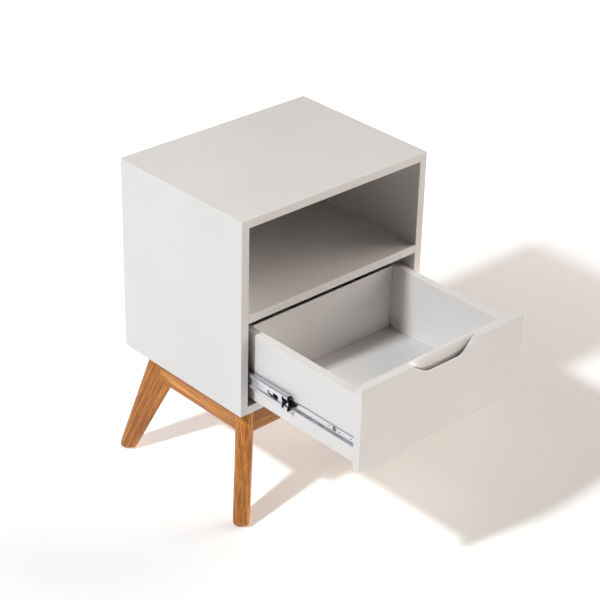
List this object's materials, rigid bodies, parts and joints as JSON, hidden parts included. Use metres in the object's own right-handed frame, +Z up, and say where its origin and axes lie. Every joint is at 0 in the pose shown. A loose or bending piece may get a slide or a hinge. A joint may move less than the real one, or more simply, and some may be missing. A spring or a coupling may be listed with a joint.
{
  "type": "bedside cabinet",
  "caption": "Small bedside cabinet on splayed wooden legs, with an open niche above a drawer on telescopic slides.",
  "frame": {"origin": "on the floor, below the centre of the bounding box of the cabinet with its drawer open", "axes": "+Z up, +Y from the front to the back, +X to the right of someone facing the front"},
  "size_m": [0.4282, 0.5686, 0.56],
  "materials": {
    "off_white_lacquer": "satin off-white lacquer on board",
    "warm_oak": "satin oiled warm brown wood",
    "beech_dowel": "raw beech",
    "zinc_plated_steel": "zinc plated",
    "yellow_zinc_screw": "yellow zinc plated",
    "black_plastic": "matte black",
    "brown_plastic": "matte brown"
  },
  "bodies": {
    "cabinet": {"left_side_panel": "off_white_lacquer", "right_side_panel": "off_white_lacquer", "top_panel": "off_white_lacquer", "bottom_panel": "off_white_lacquer", "middle_shelf": "off_white_lacquer", "back_panel": "off_white_lacquer", "back_screw_lower_left": "yellow_zinc_screw", "back_screw_upper_left": "yellow_zinc_screw", "back_screw_lower_right": "yellow_zinc_screw", "back_screw_upper_right": "yellow_zinc_screw", "front_left_leg": "warm_oak", "front_left_glide": "brown_plastic", "front_right_leg": "warm_oak", "front_right_glide": "brown_plastic", "rear_left_leg": "warm_oak", "rear_left_glide": "brown_plastic", "rear_right_leg": "warm_oak", "rear_right_glide": "brown_plastic", "front_rail": "warm_oak", "back_rail": "warm_oak", "left_rail": "warm_oak", "right_rail": "warm_oak", "base_screw_front_left": "yellow_zinc_screw", "base_screw_front_right": "yellow_zinc_screw", "base_screw_back_left": "yellow_zinc_screw", "base_screw_back_right": "yellow_zinc_screw", "left_slide_cabinet_member": "zinc_plated_steel", "left_slide_cabinet_screw_front": "yellow_zinc_screw", "left_slide_cabinet_screw_rear": "yellow_zinc_screw", "right_slide_cabinet_member": "zinc_plated_steel", "right_slide_cabinet_screw_front": "yellow_zinc_screw", "right_slide_cabinet_screw_rear": "yellow_zinc_screw"},
    "drawer": {"drawer_front": "off_white_lacquer", "drawer_left_side": "off_white_lacquer", "drawer_right_side": "off_white_lacquer", "drawer_back": "off_white_lacquer", "drawer_bottom": "off_white_lacquer", "front_dowel_lower_left": "beech_dowel", "front_dowel_upper_left": "beech_dowel", "front_dowel_lower_right": "beech_dowel", "front_dowel_upper_right": "beech_dowel", "left_slide_drawer_member": "zinc_plated_steel", "left_slide_drawer_screw_front": "yellow_zinc_screw", "left_slide_drawer_screw_rear": "yellow_zinc_screw", "right_slide_drawer_member": "zinc_plated_steel", "right_slide_drawer_screw_front": "yellow_zinc_screw", "right_slide_drawer_screw_rear": "yellow_zinc_screw"},
    "left_intermediate": {"left_slide_intermediate_member": "zinc_plated_steel", "left_slide_end_stop": "black_plastic"},
    "left_outer_cage": {"left_slide_outer_ball_cage": "zinc_plated_steel"},
    "left_inner_cage": {"left_slide_inner_ball_cage": "zinc_plated_steel"},
    "left_lever": {"left_slide_release_lever": "black_plastic"},
    "right_intermediate": {"right_slide_intermediate_member": "zinc_plated_steel", "right_slide_end_stop": "black_plastic"},
    "right_outer_cage": {"right_slide_outer_ball_cage": "zinc_plated_steel"},
    "right_inner_cage": {"right_slide_inner_ball_cage": "zinc_plated_steel"},
    "right_lever": {"right_slide_release_lever": "black_plastic"}
  },
  "joints": [
    {"name": "drawer_slide", "type": "slide", "parent": "cabinet", "child": "drawer", "axis": [0, -1, 0], "range_m": [-0.251, 0]},
    {"name": "left_intermediate_slide", "type": "slide", "parent": "cabinet", "child": "left_intermediate", "axis": [0, -1, 0], "range_m": [-0.1255, 0]},
    {"name": "left_outer_cage_slide", "type": "slide", "parent": "cabinet", "child": "left_outer_cage", "axis": [0, -1, 0], "range_m": [-0.06275, 0]},
    {"name": "left_inner_cage_slide", "type": "slide", "parent": "cabinet", "child": "left_inner_cage", "axis": [0, -1, 0], "range_m": [-0.18825, 0]},
    {"name": "left_lever_hinge", "type": "hinge", "parent": "drawer", "child": "left_lever", "pos_m": [-0.1762, -0.11528, 0.2722], "axis": [1, 0, 0], "range_deg": [0, 6], "stiffness_Nm_per_rad": 0.05},
    {"name": "right_intermediate_slide", "type": "slide", "parent": "cabinet", "child": "right_intermediate", "axis": [0, -1, 0], "range_m": [-0.1255, 0]},
    {"name": "right_outer_cage_slide", "type": "slide", "parent": "cabinet", "child": "right_outer_cage", "axis": [0, -1, 0], "range_m": [-0.06275, 0]},
    {"name": "right_inner_cage_slide", "type": "slide", "parent": "cabinet", "child": "right_inner_cage", "axis": [0, -1, 0], "range_m": [-0.18825, 0]},
    {"name": "right_lever_hinge", "type": "hinge", "parent": "drawer", "child": "right_lever", "pos_m": [0.1762, -0.11528, 0.2722], "axis": [-1, 0, 0], "range_deg": [0, 6], "stiffness_Nm_per_rad": 0.05}
  ],
  "couplings": [
    {"joint": "left_intermediate_slide", "follows": "drawer_slide", "ratio": 0.5},
    {"joint": "left_outer_cage_slide", "follows": "drawer_slide", "ratio": 0.25},
    {"joint": "left_inner_cage_slide", "follows": "drawer_slide", "ratio": 0.75},
    {"joint": "right_intermediate_slide", "follows": "drawer_slide", "ratio": 0.5},
    {"joint": "right_outer_cage_slide", "follows": "drawer_slide", "ratio": 0.25},
    {"joint": "right_inner_cage_slide", "follows": "drawer_slide", "ratio": 0.75}
  ]
}
